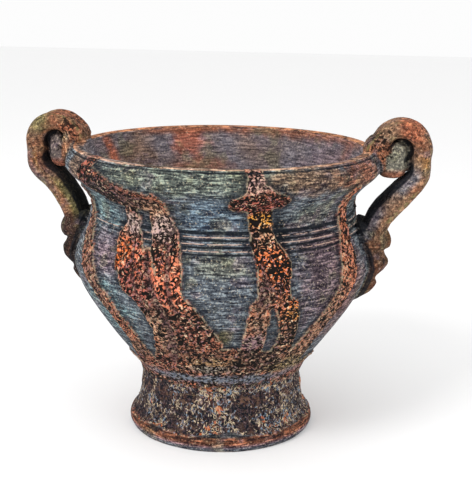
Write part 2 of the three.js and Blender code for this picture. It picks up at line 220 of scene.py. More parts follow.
# %% Runs of slip and the bare valleys in them
CRUSTS = [
    [(18.5, 1, 8), (18.5, 0.93, 9.5), (21.5, 0.87, 12), (23, 0.8, 12), (24, 0.745, 13.5),
     (27, 0.693, 17.5), (26, 0.62, 16), (26, 0.56, 20)],
    [(12.5, 0.89, 8), (20, 0.91, 15.5), (28.7, 0.898, 7.5)],
    [(21.5, 0.56, 11), (21.2, 0.46, 11), (21, 0.39, 12), (22, 0.28, 14)],
    [(32, 0.56, 11), (35, 0.46, 12), (36.5, 0.38, 12), (37, 0.28, 18)],
    [(0, 0.345, 15), (11, 0.357, 15), (22, 0.35, 15), (40, 0.325, 14)],
    [(-46, 0.985, 9), (-46, 0.94, 13), (-38, 0.91, 15), (-28, 0.89, 13), (-19, 0.885, 9)],
    [(-29.5, 0.87, 8), (-30, 0.8, 9), (-31, 0.743, 16), (-28.8, 0.69, 17), (-25.2, 0.63, 14),
     (-21.2, 0.583, 10), (-18.3, 0.523, 9), (-16.7, 0.463, 9), (-18, 0.4, 9.5), (-23, 0.3, 14)],
    [(-17, 0.88, 11), (-17, 0.827, 11), (-15.5, 0.787, 13.5), (-14, 0.737, 15), (-12, 0.697, 13),
     (-10.7, 0.633, 13), (-9.8, 0.583, 13), (-6, 0.53, 16), (-3.5, 0.48, 19), (-1.5, 0.42, 22),
     (-4, 0.32, 34)],
    [(-21.5, 0.72, 5.5), (-17.7, 0.62, 8), (-14.2, 0.54, 8), (-12.3, 0.45, 9), (-14, 0.38, 9)],
    [(-61, 0.87, 6), (-62.5, 0.8, 8.5), (-61, 0.74, 11), (-55.5, 0.677, 11), (-48, 0.613, 11),
     (-42, 0.55, 10.5), (-37.5, 0.463, 9.5), (-36, 0.39, 10), (-36, 0.3, 17)],
    [(62, 0.9, 8), (66, 0.81, 9), (66, 0.75, 10), (63.5, 0.68, 13), (60.5, 0.62, 13),
     (57, 0.56, 13), (53, 0.48, 12), (50, 0.4, 13), (47, 0.3, 18)],
    [(102, 0.9, 9), (100, 0.8, 9), (105, 0.71, 14), (110, 0.6, 11), (112, 0.48, 13), (107, 0.3, 15)],
    [(150, 1, 8), (151, 0.92, 10), (147, 0.87, 15), (150, 0.79, 11), (153, 0.69, 16),
     (148, 0.58, 12), (151, 0.46, 14), (149, 0.3, 22)],
    [(196, 0.88, 10), (197, 0.75, 12), (201, 0.66, 15), (203, 0.55, 10), (208, 0.43, 12), (209, 0.3, 18)],
    [(243, 0.89, 10), (244, 0.78, 10), (248, 0.68, 14), (250, 0.57, 10), (256, 0.43, 12), (259, 0.3, 16)],
]
VALLEY = [(26.5, 0.55, 3), (30, 0.42, 4.5)]
FURROWS = [
    [(-29, 0.8, 1), (-27.5, 0.7, 2.2), (-23.5, 0.6, 2), (-20, 0.52, 1)],
    [(-13.5, 0.77, 1), (-12.5, 0.7, 3), (-10.5, 0.6, 3), (-8, 0.52, 1)],
    [(-21.5, 0.71, 3), (-17.7, 0.62, 4), (-14.2, 0.54, 4), (-12.8, 0.46, 4), (-14, 0.38, 4), (-17, 0.33, 3)],
    [(21, 0.58, 2), (23.5, 0.64, 3.5), (22.5, 0.7, 1)],
]


def turn_between(a, b):
    """Degrees from b to a, the short way round."""
    return (a - b + 540) % 360 - 180


def depth_in_run(run, angle, z):
    """How deep inside a run each point lies, in millimetres; outside it the depth is negative."""
    turn = radius_at(z) * math.pi / 180
    start = run[0][0]
    to_start = turn_between(start, angle)
    deepest = np.full_like(z, -1e3)
    for (a0, s0, h0), (a1, s1, h1) in zip(run, run[1:]):
        x0, y0 = (to_start + a0 - start) * turn, s0 * RIM_HEIGHT - z
        x1, y1 = (to_start + a1 - start) * turn, s1 * RIM_HEIGHT - z
        dx, dy = x1 - x0, y1 - y0
        t = np.clip(-(x0 * dx + y0 * dy) / (dx * dx + dy * dy), 0, 1)
        deepest = np.maximum(deepest, lerp(h0, h1, t) - np.hypot(x0 + dx * t, y0 + dy * t))
    return deepest


def depth_in_coat(angle, z):
    """The same for the rough coat round the foot of the bowl and down the stem."""
    a = np.radians(angle)
    top = STEM_HEIGHT + COAT_HEIGHT + 4 * np.sin(2 * a + 0.6) + 3 * np.sin(5 * a + 1.9)
    foot = FOOT_BAND + 1 + 1.5 * np.sin(7 * a) + 1.5 * np.sin(3 * a + 1)
    return np.minimum(top - z, z - foot)


# %% [markdown]
# ## Making it lumpy
#
# Slip dries into lumps with a wandering edge. A smooth random field, read at each point of the
# surface, gives the same lumps each time and is set in millimetres. Broad and fine fields move the
# edge and raise the lumps, and a narrow band at the edge stands up as the slip's curled rim.

# %% Lumps, edges and pits
def surface_points(angle, z):
    a = np.radians(angle)
    r = radius_at(z)
    return np.stack([r * np.sin(a), -r * np.cos(a), z], axis=1)


def lumps(points, size, seed):
    """A smooth random field from about -1 to 1, whose lumps are size millimetres across."""
    shift = np.array([7.3, 3.1, 5.7]) * seed
    shifted = points / size + shift + 100
    return np.array([noise.noise(Vector(p), noise_basis="PERLIN_NEW") for p in shifted])


def slip_depth(angle, z):
    """Depth inside the slip, with the edge's wander."""
    depth = depth_in_coat(angle, z)
    for run in CRUSTS:
        depth = np.maximum(depth, depth_in_run(run, angle, z))
    depth = np.minimum(depth, -depth_in_run(VALLEY, angle, z))
    points = surface_points(angle, z)
    return depth + 1.9 * lumps(points, 11, 1) + 0.8 * lumps(points, 4.5, 2)


def furrow(angle, z):
    """1 along the middle of the smooth furrows between a run's strands, and 0 away from them."""
    return smooth(np.max([depth_in_run(run, angle, z) for run in FURROWS], axis=0) / 2 + 0.5)


def slip_height(angle, z, depth):
    """How far the slip stands off the clay, in millimetres."""
    points = surface_points(angle, z)
    body = CRUST_THICKNESS * 0.82 + 1.0 * lumps(points, 10, 3) + 0.75 * lumps(points, 3.6, 4)
    curl = 0.7 * np.exp(-((depth - 1.4) / 1.1) ** 2)
    lip_fade = smooth((RIM_HEIGHT - 1 - z) / 8)
    height = np.maximum(body + curl, 0.5) * (1 - 0.55 * furrow(angle, z))
    return smooth(depth / 3.4 + 0.5) * height * lip_fade


# %% [markdown]
# ## Tooled lines
#
# Three rings run round the shoulder, two shallow grooves round the collar, one groove sets off the
# lip and a bead marks the joint of stem and bowl. All were cut or pressed on the wheel, so each is
# given by its height, its relief and its half width. Slip hides them where it ran over.

# %% Rings, grooves and the bead
COLLAR_GROOVES = [(291, 0.7, 1.1), (284.5, 0.6, 1.1), (297.3, 1.0, 0.9)]
STEM_BEAD = (55.2, 1.6, 2.2)


def bump_at(z, height, relief, half):
    return relief * np.exp(-(((z - height) / half) ** 2))


def ring_height(z):
    down = (RINGS_TOP - z) / RING_PITCH
    return np.where((down > 0) & (down < RING_COUNT), np.sin(down * np.pi) ** 2, 0)


WIPED_AT = -58


def wiped(angle, reach):
    """1 where a hand wiped over the rings, fading within reach degrees of the middle of that place."""
    return smooth((reach - np.abs(turn_between(angle, WIPED_AT))) / 6)


def ring_share(angle, z):
    """How much of each ring is left: at the left all but the top one were wiped away."""
    return 1 - 0.85 * wiped(angle, 20) * (z < RINGS_TOP - RING_PITCH)


def tooling(angle, z):
    relief = RING_RELIEF * ring_height(z) * ring_share(angle, z) + bump_at(z, *STEM_BEAD)
    for height, depth, half in COLLAR_GROOVES:
        relief -= bump_at(z, height, depth, half)
    return relief


# %% Grids as closed solids
def new_piece(name, points, faces):
    mesh = bpy.data.meshes.new(name)
    mesh.from_pydata([tuple(p) for p in np.asarray(points) * MM], [], faces)
    mesh.validate()
    piece = bpy.data.objects.new(name, mesh)
    bpy.context.scene.collection.objects.link(piece)
    return piece


def loft(name, rings, tips=None):
    """A closed solid through rings of points, with a fan at each end to a tip or the ring's middle."""
    sides = len(rings[0])
    count = len(rings) * sides
    last = count - sides
    faces = []
    for start in range(0, last, sides):
        for j in range(sides):
            a, b = start + j, start + (j + 1) % sides
            faces.append((a, b, b + sides, a + sides))
    faces += [((j + 1) % sides, j, count) for j in range(sides)]
    faces += [(last + j, last + (j + 1) % sides, count + 1) for j in range(sides)]
    return new_piece(name, np.vstack([*rings, tips or [rings[0].mean(0), rings[-1].mean(0)]]), faces)


def turned(name, rows, angles, low, high):
    """A closed solid from rings about the axis, with a tip below and above."""
    a = np.radians(angles)
    rings = [np.stack([r * np.sin(a), -r * np.cos(a), np.full_like(a, z)], axis=1) for r, z in rows]
    return loft(name, rings, [(0, 0, low), (0, 0, high)])


# %% [markdown]
# ## The outside
#
# The outline is turned through columns that crowd to the front, where the crusts are finest, and
# each point is pushed out by the slip or the tooling. The rows go on over the lip and a little down
# inside it, so that the lip is rounded and the hollow can be cut cleanly.

# %% The outside of the pot
COLUMNS = 400
FRONT_CROWDING = 0.35
MOUTH_RADIUS = LIP_RADIUS - LIP_WIDTH


def column_angles(count, crowding):
    turn = np.linspace(0, 2 * np.pi, count, endpoint=False)
    return np.degrees(turn - crowding * np.sin(turn))


def outside():
    angles = column_angles(COLUMNS, FRONT_CROWDING)
    over_lip = [(LIP_RADIUS - 1.2, RIM_HEIGHT + 0.1), (LIP_RADIUS - 5, RIM_HEIGHT)]
    for out, down in [(3, 0.5), (1, 1.3), (-0.5, 2.6), (-2, 5)]:
        over_lip.append((MOUTH_RADIUS + out, RIM_HEIGHT - down))
    body = OUTSIDE.copy()
    body[-1] = (LIP_RADIUS, RIM_HEIGHT - 0.6)
    rows = np.vstack([body, over_lip])
    piece = turned("krater_pot", rows, angles, 0, RIM_HEIGHT - 6)
    co = np.array([v.co for v in piece.data.vertices]) / MM
    count = len(body) * COLUMNS
    angle = np.tile(angles, len(body))
    z = co[:count, 2]
    depth = slip_depth(angle, z)
    push = np.maximum(slip_height(angle, z, depth), tooling(angle, z))
    push = push + 0.35 * lumps(surface_points(angle, z), 30, 9)
    radius = radius_at(z)
    co[:count, :2] *= ((radius + push) / radius)[:, None]
    piece.data.vertices.foreach_set("co", (co * MM).ravel())
    return piece


pot = outside()
print("outside:", len(pot.data.vertices), "points")

# %% [markdown]
# ## The hollows
#
# The bowl is hollow down to a true floor, and the foot is a ring with a hollow inside it. Both
# hollows are turned solids that are cut away. The inside was wiped by hand on the wheel, so its
# curve is plain.

# %% The hollow of the bowl and the hollow of the foot
FLOOR_HEIGHT = STEM_HEIGHT + FLOOR
CEILING = STEM_HEIGHT - FLOOR


def cavity_rows():
    neck = NECK_RADIUS - NECK_WALL
    points = [(radius_at(FLOOR_HEIGHT) * 0.72, FLOOR_HEIGHT + 1)]
    for t in (0.1, 0.22, 0.42, 0.65, 0.85, 1):
        z = lerp(FLOOR_HEIGHT, BELLY_HEIGHT, t)
        points.append((radius_at(z) - BELLY_WALL, z))
    points.append(((BELLY_RADIUS - BELLY_WALL + neck) / 2, (BELLY_HEIGHT + NECK_HEIGHT) / 2))
    points.append((neck, NECK_HEIGHT))
    points.append((lerp(neck, MOUTH_RADIUS, 0.35), lerp(NECK_HEIGHT, RIM_HEIGHT, 0.45)))
    points.append((MOUTH_RADIUS, RIM_HEIGHT - LIP_WIDTH / 3))
    return curve_through(points, 52)


def hollow_rows():
    opening = FOOT_RADIUS - FOOT_EDGE_ROUND - FOOT_RING_WIDTH
    top = STEM_RADIUS - STEM_WALL
    return curve_through([(opening, 0), (top, CEILING * 0.75), (top * 0.9, CEILING)], 10)


CAVITY = cavity_rows()
HOLLOW = hollow_rows()
ABOVE = RIM_HEIGHT + RIGHT["rise"] + 5
BELOW = -5


def cavity():
    rows = np.vstack([CAVITY, [(MOUTH_RADIUS, ABOVE)]])
    return turned("bowl_hollow", rows, column_angles(180, 0), FLOOR_HEIGHT, ABOVE)


def foot_hollow():
    rows = np.vstack([[(HOLLOW[0][0], BELOW)], HOLLOW])
    return turned("foot_hollow", rows, column_angles(96, 0), BELOW, CEILING)


# %% [markdown]
# ## The handles
#
# Each handle is a strap of clay that leaves the belly, rises outwards past the rim, curls over and
# lands on the lip. Its line is a curve through a few points, and its section is a rounded oblong
# with a channel pressed along its outer face by a finger.

# %% The handle's line and its strap
STRAP_STEPS = 96
END_SHARE = 0.16  # of the strap's length, at its root and again at its landing


def loop_centre(handle):
    x = COLLAR_RADIUS + handle["reach"] - HANDLE_THICKNESS / 2 - LOOP_RADIUS
    z = RIM_HEIGHT + handle["rise"] - HANDLE_THICKNESS / 2 - LOOP_RADIUS
    return x, z


def handle_line(handle):
    """The strap's middle line, as [distance out, height], and the way out through its thickness."""
    x, z = loop_centre(handle)
    wall = radius_at(HANDLE_ROOT_HEIGHT)
    root = np.array([wall + ROOT_TURN, HANDLE_ROOT_HEIGHT])
    lower = np.array([x + LOOP_RADIUS * 0.87, z - LOOP_RADIUS * 1.15])
    points = [(wall - BELLY_WALL * 0.7, HANDLE_ROOT_HEIGHT - ROOT_TURN), root]
    for t, sag in zip((0.34, 0.68), handle["sag"]):
        points.append(lerp(root, lower, t) + (-sag, sag))
    points.append(lower)
    for turn in np.radians(np.arange(-18, 166, 30.5)):
        points.append((x + LOOP_RADIUS * math.cos(turn), z + LOOP_RADIUS * math.sin(turn)))
    landing = MOUTH_RADIUS - LANDING_OVERLAP + LANDING_THICKNESS / 2
    points += [(landing + LANDING_OVERLAP, RIM_HEIGHT + 3), (landing, RIM_HEIGHT - 10)]
    line = curve_through(points, STRAP_STEPS)
    along = np.gradient(line, axis=0)
    along /= np.linalg.norm(along, axis=1)[:, None]
    return line, np.stack([along[:, 1], -along[:, 0]], axis=1)


def strap_shape(handle, t):
    """The strap's width and thickness, and how far its channel is formed, at a share of its length."""
    root = 1 - smooth(t / END_SHARE)
    landing = smooth((t - (1 - END_SHARE)) / END_SHARE)
    width = lerp(HANDLE_WIDTH, LANDING_WIDTH, landing) + ROOT_FLARE * root
    strap = lerp(handle["root"], HANDLE_THICKNESS, smooth((t - 0.33) / 0.22))
    return width, lerp(strap, LANDING_THICKNESS, landing), (1 - root) * (1 - landing)


def rounded(v):
    return np.sign(v) * np.abs(v) ** 0.72


def strap(handle):
    line, outward = handle_line(handle)
    turn = np.linspace(0, 2 * np.pi, 44, endpoint=False)
    rings = []
    for i, t in enumerate(np.linspace(0, 1, STRAP_STEPS)):
        width, thickness, formed = strap_shape(handle, t)
        across = width / 2 * rounded(np.cos(turn))
        out = thickness / 2 * rounded(np.sin(turn))
        share = np.abs(across) / (width / 2)
        channel = smooth(1 - share / 0.62) * (np.sin(turn) > 0)
        out = out - HANDLE_CHANNEL * formed * channel
        x, height = line[i][:, None] + outward[i][:, None] * out
        ring = np.stack([x, across, height], axis=1)
        swell = 0.55 * lumps(ring, 13, 5) + 0.35 * lumps(ring, 5, 6)
        away = ring - [line[i][0], 0, line[i][1]]
        away /= np.linalg.norm(away, axis=1)[:, None]
        rings.append(ring + away * (swell * (1 - smooth((t - 0.9) / 0.1)))[:, None])
    return loft("strap", rings)


# %% [markdown]
# ## Tongue and leaf
#
# The handle's free end curls under as a thick tongue that fills the loop and is pressed against the
# collar. Under the handle's root a lobed leaf was pressed onto the belly in three tiers. Both are
# small free forms: the tongue is a ball made fuller towards a block, and the leaf is a loft whose
# tiers swell and are nipped in. One cosine gives each tier three lobes, and a rib stands between two
# furrows down the middle.

# %% The tongue and the web behind it
def full_ball(name, inside, outside, width, bottom, top):
    """A ball made fuller towards a block, between two distances from the axis and two heights."""
    low = np.array([inside, -width / 2, bottom])
    high = np.array([outside, width / 2, top])
    turn = np.linspace(0, 2 * np.pi, 40, endpoint=False)
    rings = []
    for tilt in np.linspace(-90, 90, 29)[1:-1]:
        flat, up = math.cos(math.radians(tilt)), math.sin(math.radians(tilt))
        ball = np.stack([flat * np.cos(turn), flat * np.sin(turn), np.full_like(turn, up)], axis=1)
        ball *= (np.abs(ball) ** 3).sum(axis=1)[:, None] ** (-1 / 3)
        ring = (low + high) / 2 + ball * (high - low) / 2
        rings.append(ring + ball * (0.5 * lumps(ring, 7, 7))[:, None])
    return loft(name, rings)


HOLE_RADIUS = LOOP_RADIUS - HANDLE_THICKNESS / 2


def tongue_and_web(handle):
    """The handle's free end in the loop, and the clay that closes the slot beside it halfway in."""
    x, z = loop_centre(handle)
    inside, outside = COLLAR_RADIUS - TONGUE_SINK, x + HOLE_RADIUS
    bottom, top = RIM_HEIGHT - TONGUE_DROP, z + HOLE_RADIUS
    tongue = full_ball("tongue", inside, outside - TONGUE_SLOT, TONGUE_WIDTH, bottom, top - TONGUE_ARCH)
    low, high = bottom + WEB_RISE, top + WEB_OVERLAP
    web = full_ball("web", inside, outside + WEB_OVERLAP, WEB_WIDTH, low, high)
    return [tongue, web]


# %% The leaf: for each station, how far down it is, how proud and how wide, as shares
LEAF_TOP = HANDLE_ROOT_HEIGHT + LEAF_ABOVE_ROOT
LEAF_TIERS = [
    (0, 0.72, 0.6), (0.05, 0.97, 0.86), (0.17, 1, 1), (0.275, 0.85, 0.97), (0.34, 0.58, 0.78),
    (0.39, 0.61, 0.84), (0.455, 0.66, 0.92), (0.56, 0.56, 0.88), (0.675, 0.38, 0.66),
    (0.75, 0.5, 0.6), (0.84, 0.46, 0.54), (0.925, 0.26, 0.38), (1, 0.03, 0.14),
]


def leaf():
    v = np.linspace(-1, 1, 49)
    lobe = np.abs(np.cos(1.5 * np.pi * v))
    rounding = np.sqrt(1 - 0.94 * v * v) * lerp(0.84, 1, lobe)
    rib = 0.05 * np.exp(-((v / 0.06) ** 2)) - 0.05 * np.exp(-(((np.abs(v) - 0.14) / 0.06) ** 2))
    rings = []
    for down, proud, width in curve_through(LEAF_TIERS, 62):
        half = LEAF_WIDTH / 2 * width
        level = LEAF_TOP - LEAF_LENGTH * down
        z = level + 5 * v * v
        face = radius_at(z) + LEAF_PROUD * proud * (rounding + rib) - 1
        front = np.stack([face, v * half, z], axis=1)
        front[:, 0] += 0.6 * lumps(front, 6, 8)
        back = radius_at(level) - BELLY_WALL / 2
        behind = np.array([(back, s * half, level) for s in (0.7, 0.25, -0.25, -0.7)])
        rings.append(np.vstack([front, behind]))
    return loft("leaf", rings)


# %% [markdown]
# ## One fired piece
#
# The parts were luted together while wet and fired as one, so booleans join them into one closed
# mesh. Merely grouping them would look the same from outside but leave faces hidden in the clay.

# %% Joining and cutting
def combine(piece, other, operation):
    """Joins another piece to a piece or cuts it away, and uses it up."""
    cut = piece.modifiers.new(operation.lower(), "BOOLEAN")
    cut.operation = operation
    cut.solver = "MANIFOLD"
    cut.object = other
    seen = piece.evaluated_get(bpy.context.evaluated_depsgraph_get())
    mesh = bpy.data.meshes.new_from_object(seen)
    piece.modifiers.clear()
    old = piece.data
    piece.data = mesh
    bpy.data.meshes.remove(old)
    bpy.data.objects.remove(other)


for handle in (RIGHT, LEFT):
    for fitting in [strap(handle), *tongue_and_web(handle), leaf()]:
        if handle is LEFT:
            fitting.data.transform(Matrix.Rotation(math.pi, 4, "Z"))
        combine(pot, fitting, "UNION")
combine(pot, cavity(), "DIFFERENCE")
combine(pot, foot_hollow(), "DIFFERENCE")
pot.data.name = "krater_pot"
triangles = sum(len(face.vertices) - 2 for face in pot.data.polygons)
print("one piece:", len(pot.data.vertices), "points,", triangles, "triangles")

# %% [markdown]
# ## Reading the surface
#
# The paint follows the form: bright on crusts and ridges, dark in grooves and beside edges. So the
# finished mesh is measured point by point, and what the measures give is kept on the mesh as
# attributes that the material reads.

# %% Measures of each point
co = np.empty(len(pot.data.vertices) * 3)
pot.data.vertices.foreach_get("co", co)
co = co.reshape(-1, 3) / MM
z = co[:, 2]
radius = np.hypot(co[:, 0], co[:, 1])
angle = np.degrees(np.arctan2(co[:, 0], -co[:, 1]))

depth = slip_depth(angle, z)
relief = np.maximum(slip_height(angle, z, depth), tooling(angle, z))
proud = radius - radius_at(z) - relief
over_rim = z > RIM_HEIGHT + 1.5
luted = np.where(over_rim, 1, smooth((proud - 0.9) / 2.5))

cavity_radius = np.interp(z, CAVITY[:, 1], CAVITY[:, 0])
in_bowl = smooth((cavity_radius + 2.5 - radius) / 2) * (z > FLOOR_HEIGHT - 2)
hollow_radius = np.interp(z, HOLLOW[:, 1], HOLLOW[:, 0])
underneath = (z < CEILING + 1) & (radius < hollow_radius + 1.5) | (z < 0.4)
inside = np.where(over_rim, 0, np.maximum(in_bowl, underneath))


def handle_measures():
    """For each point: share of the strap's length, and how far out across its thickness."""
    share = np.zeros(len(co))
    outward = np.zeros(len(co))
    for handle in (RIGHT, LEFT):
        line, through = handle_line(handle)
        out = co[:, 0] * handle["side"]
        mine = np.nonzero((out > 0) & (luted > 0))[0]
        offset = np.stack([out[mine], z[mine]], axis=1)[:, None, :] - line[None, :, :]
        nearest = np.linalg.norm(offset, axis=2).argmin(axis=1)
        share[mine] = nearest / (STRAP_STEPS - 1)
        outward[mine] = (offset[np.arange(len(mine)), nearest] * through[nearest]).sum(axis=1)
    return share, outward


strap_share, strap_outward = handle_measures()
print("luted points:", int((luted > 0.5).sum()), "inside points:", int((inside > 0.5).sum()))

# %% [markdown]
# ## Pigments
#
# The paint is some twenty dabbed and brushed pigments over dark slate. Each is named once. A patch
# is a dab of one of them: where it sits (degrees round, height), how far it reaches across and up
# in millimetres, and how strong it is. Patches are laid one over the other, as a painter works.

# %% Pigments and patches
def pigment(code):
    """A colour written as six hex digits, as the light values that a shader mixes."""
    shares = [int(code[i : i + 2], 16) / 255 for i in (0, 2, 4)]
    return tuple(s / 12.92 if s <= 0.04045 else ((s + 0.055) / 1.055) ** 2.4 for s in shares)


SLATE = pigment("6b7279")
STEEL = pigment("788d9e")
TEAL = pigment("769094")
MAUVE = pigment("84717a")
PLUM = pigment("6e5a60")
MOSS = pigment("7d7a5c")
SAGE = pigment("7b8276")
EMBER = pigment("c9704f")
FLAME = pigment("c4662f")
GOLD = pigment("cf9440")
CREAM = pigment("c8b698")
ASH = pigment("9a8c86")
MAROON = pigment("8a4a3e")
RUST = pigment("a4664a")
TAN = pigment("a98468")
UMBER = pigment("80624e")
BARK = pigment("5e473c")
WINE = pigment("4f3636")
OLIVE = pigment("8d8458")
SOOT = pigment("15110f")
NIGHT = pigment("10151c")

GROUND_PATCHES = [
    (4, 254, 30, 18, STEEL, 0.8), (-50, 246, 26, 16, TEAL, 0.9), (46, 252, 24, 12, SAGE, 0.8),
    (8, 208, 24, 10, MOSS, 0.45), (6, 180, 24, 16, SLATE, 0.6), (-42, 205, 26, 18, MAUVE, 1),
    (50, 190, 36, 55, PLUM, 0.9), (66, 170, 26, 50, MAROON, 0.5), (-42, 150, 28, 30, TEAL, 1),
    # The NIGHT dab at 31.5 degrees and 236 mm is painted shadow right of the trunk's crust.
    (9, 136, 9, 8, OLIVE, 0.9), (31.5, 236, 8, 20, NIGHT, 0.8),
    (0, 290, 120, 13, SAGE, 0.95), (-54, 288, 20, 16, UMBER, 0.8), (40, 288, 46, 13, UMBER, 0.85),
    (66, 288, 34, 15, RUST, 0.85), (-88, 285, 40, 20, UMBER, 0.7), (100, 285, 30, 20, RUST, 0.6),
    (140, 286, 70, 14, SAGE, 0.6), (210, 286, 80, 14, UMBER, 0.6), (128, 180, 34, 40, TEAL, 0.6),
    (175, 200, 40, 34, MAUVE, 0.6), (225, 160, 40, 40, TEAL, 0.6), (175, 130, 40, 24, MOSS, 0.4),
]
CRUST_PATCHES = [
    (18.5, 288, 16, 10, ASH, 0.6), (20, 266, 36, 11, MAROON, 0.95), (23, 250, 18, 7, GOLD, 0.95),
    (24, 232, 18, 9, TAN, 0.8), (26, 208, 24, 16, FLAME, 0.75), (22, 182, 11, 18, BARK, 0.95),
    (35, 182, 12, 16, FLAME, 0.8), (36, 160, 12, 10, GOLD, 0.6), (37, 136, 14, 18, UMBER, 0.9),
    (21, 150, 13, 14, UMBER, 0.95), (21, 128, 13, 12, PLUM, 0.95), (30, 108, 34, 10, BARK, 0.9),
    (42, 112, 12, 10, FLAME, 0.5), (-38, 268, 50, 22, WINE, 1), (-22, 260, 26, 8, BARK, 0.9),
    (-19, 254, 14, 9, TAN, 0.8), (-29, 240, 14, 12, ASH, 0.9), (-16, 240, 14, 14, ASH, 0.8),
    (-28, 206, 22, 20, MAROON, 0.95), (-33, 210, 12, 14, FLAME, 0.9),
    (-25, 204, 7, 18, EMBER, 0.8), (-14, 216, 18, 10, BARK, 0.8),
    (-13, 196, 18, 20, EMBER, 0.85), (-22, 176, 26, 16, MAROON, 0.95), (-18, 158, 16, 12, BARK, 0.8),
    (-8, 172, 14, 14, EMBER, 0.6), (-3, 148, 34, 20, BARK, 0.7), (-4, 138, 24, 18, MAROON, 0.4),
    (-17, 134, 12, 16, TAN, 0.85), (-60, 250, 20, 60, BARK, 0.8), (-46, 170, 20, 50, BARK, 0.8),
    (64, 210, 24, 40, RUST, 0.8), (52, 150, 24, 40, UMBER, 0.8), (-50, 288, 14, 14, MAROON, 0.8),
    (-6, 110, 50, 10, BARK, 0.7), (-35, 103, 34, 14, UMBER, 0.8), (50, 100, 40, 18, UMBER, 0.8),
    (8, 96, 40, 10, OLIVE, 0.5), (104, 215, 22, 30, EMBER, 0.7), (149, 235, 24, 24, EMBER, 0.8),
    (150, 150, 24, 34, OLIVE, 0.7), (202, 200, 24, 24, FLAME, 0.7), (208, 130, 26, 24, OLIVE, 0.6),
    (248, 210, 24, 26, EMBER, 0.7), (-20, 98, 22, 8, MAROON, 0.7), (24, 96, 30, 9, WINE, 0.8),
    (-44, 92, 26, 8, MAROON, 0.6), (2, 92, 24, 6, TEAL, 0.5), (48, 90, 26, 10, OLIVE, 0.7),
    (0, 76, 600, 6, PLUM, 0.6), (2, 76.5, 75, 7, pigment("55616c"), 0.95),
]
# Where the slip is pitted, from 0 where it is smooth to 1: the same places, with an amount.
PITTED = [
    (22, 266, 36, 14, 0.9), (24, 240, 22, 24, 1), (28, 205, 24, 26, 1), (36, 150, 16, 50, 1.1),
    (22, 182, 9, 20, 0.1), (20, 140, 13, 20, 0.35), (28, 110, 34, 14, 0.8), (-20, 225, 30, 14, 0.6),
    (-5, 140, 34, 34, 0.8), (-22, 240, 30, 10, 0.25), (-44, 275, 30, 24, 0.9), (-29, 200, 16, 30, 0.7),
    (-14, 222, 14, 12, 0.9), (0, 92, 400, 12, 0.8), (0, 77, 600, 5, 0), (0, 65, 600, 6, 1),
    (0, 50, 600, 4, 0.1), (0, 32, 600, 11, 0.65),
]


def dab(colours, patches, wander):
    """Lays patches of pigment over colours, each with a wandering edge."""
    for around, height, across, up, colour, strength in patches:
        x = turn_between(angle, around) * radius_at(z) * math.pi / 180 / across
        y = (z - height) / up
        weight = strength * smooth(1.5 - np.hypot(x, y) + 0.5 * wander)
        colours = lerp(colours, np.array(colour), weight[:, None])
    return colours


def flat(colour):
    return np.tile(colour, (len(co), 1))


wander = lumps(co, 14, 11) + 0.6 * lumps(co, 5, 12)
ground = dab(flat(SLATE), GROUND_PATCHES, wander)
crust = dab(flat(RUST), CRUST_PATCHES, wander)
pitted = dab(flat((0.45,)), [(*patch[:4], (patch[4],), 1) for patch in PITTED], 0)[:, 0]
furrowed = furrow(angle, z)
crust = lerp(crust, np.array(WINE) * 0.8, 0.9 * furrowed[:, None])
pitted = pitted * (1 - 0.8 * furrowed)

# %% [markdown]
# ## Handles, rim, inside and foot
#
# These have a finish of their own. The handles are tan and orange with ochre edges, and painted shade
# darkens their inner faces; the inside is a brushed brown grey with an orange lip behind, and the
# foot's band is reddish above and blue grey below.

# %% Colours of the handles, the inside and the foot
def blend_in(colours, colour, weight):
    return lerp(colours, np.array(colour), np.clip(weight, 0, 1)[:, None])


loops = np.array([loop_centre(LEFT), loop_centre(RIGHT)])
on_right = co[:, 0] > 0
middle = loops[on_right.astype(int)]
out_x = np.abs(co[:, 0])
from_loop = np.hypot(out_x - middle[:, 0], z - middle[:, 1])


def layered(colours, *coats):
    """Lays coats one over the other, each a pigment and how much of it."""
    for colour, weight in coats:
        colours = blend_in(colours, colour, weight)
    return colours


def handle_dab(colours, patches):
    """Dabs on a handle: its side (1 right, -1 left), distance out, height, reach, pigment, strength."""
    for side, out, height, reach, colour, strength in patches:
        far = np.hypot(out_x - out, z - height) / reach
        weight = strength * smooth(1.5 - far + 0.5 * wander) * (on_right == (side > 0))
        colours = blend_in(colours, colour, weight)
    return colours


rising = smooth((0.6 - strap_share) / 0.08) * (z > HANDLE_ROOT_HEIGHT + 4)
tan = layered(
    flat(TAN),
    (RUST, 0.45 + 0.8 * lumps(co, 16, 13)),
    (UMBER, smooth((lumps(co, 10, 14) - 0.02) / 0.25) * 0.6),
    (STEEL, smooth((1.5 - strap_outward) / 3) * rising * on_right * 0.6),
)
strip = smooth((-0.5 - strap_outward) / 2) * smooth((268 - z) / 14) * rising * ~on_right
ochre_line = bump_at(strap_outward, -1.5, 1, 1.3) * rising * ~on_right
hole_edge = bump_at(strap_outward, -7.8, 1, 1.4) * smooth((strap_share - 0.5) / 0.06) * ~on_right
tan = handle_dab(tan, [
    (1, 192, 326, 12, EMBER, 0.7), (1, 168, 324, 10, TAN, 0.7), (1, 156, 312, 9, UMBER, 0.8),
    (1, 160, 298, 12, RUST, 0.8), (1, 203, 290, 9, GOLD, 0.35), (1, 176, 244, 12, TAN, 0.8),
    (1, 190, 215, 14, OLIVE, 0.7), (1, 186, 190, 12, OLIVE, 0.7), (1, 172, 165, 10, EMBER, 0.6),
    (1, 165, 148, 12, RUST, 0.8), (-1, 190, 322, 12, OLIVE, 0.8), (-1, 168, 324, 14, RUST, 0.8),
    (-1, 158, 310, 12, EMBER, 0.5), (-1, 202, 285, 16, RUST, 0.6), (-1, 196, 258, 18, PLUM, 0.7),
    (-1, 188, 205, 22, PLUM, 0.9), (-1, 178, 160, 24, PLUM, 0.9), (-1, 163, 305, 5, CREAM, 0.8),
])
is_tongue = (np.abs(co[:, 1]) < TONGUE_WIDTH / 2 + 0.8) & (z > RIM_HEIGHT - TONGUE_DROP - 1) & (luted > 0)
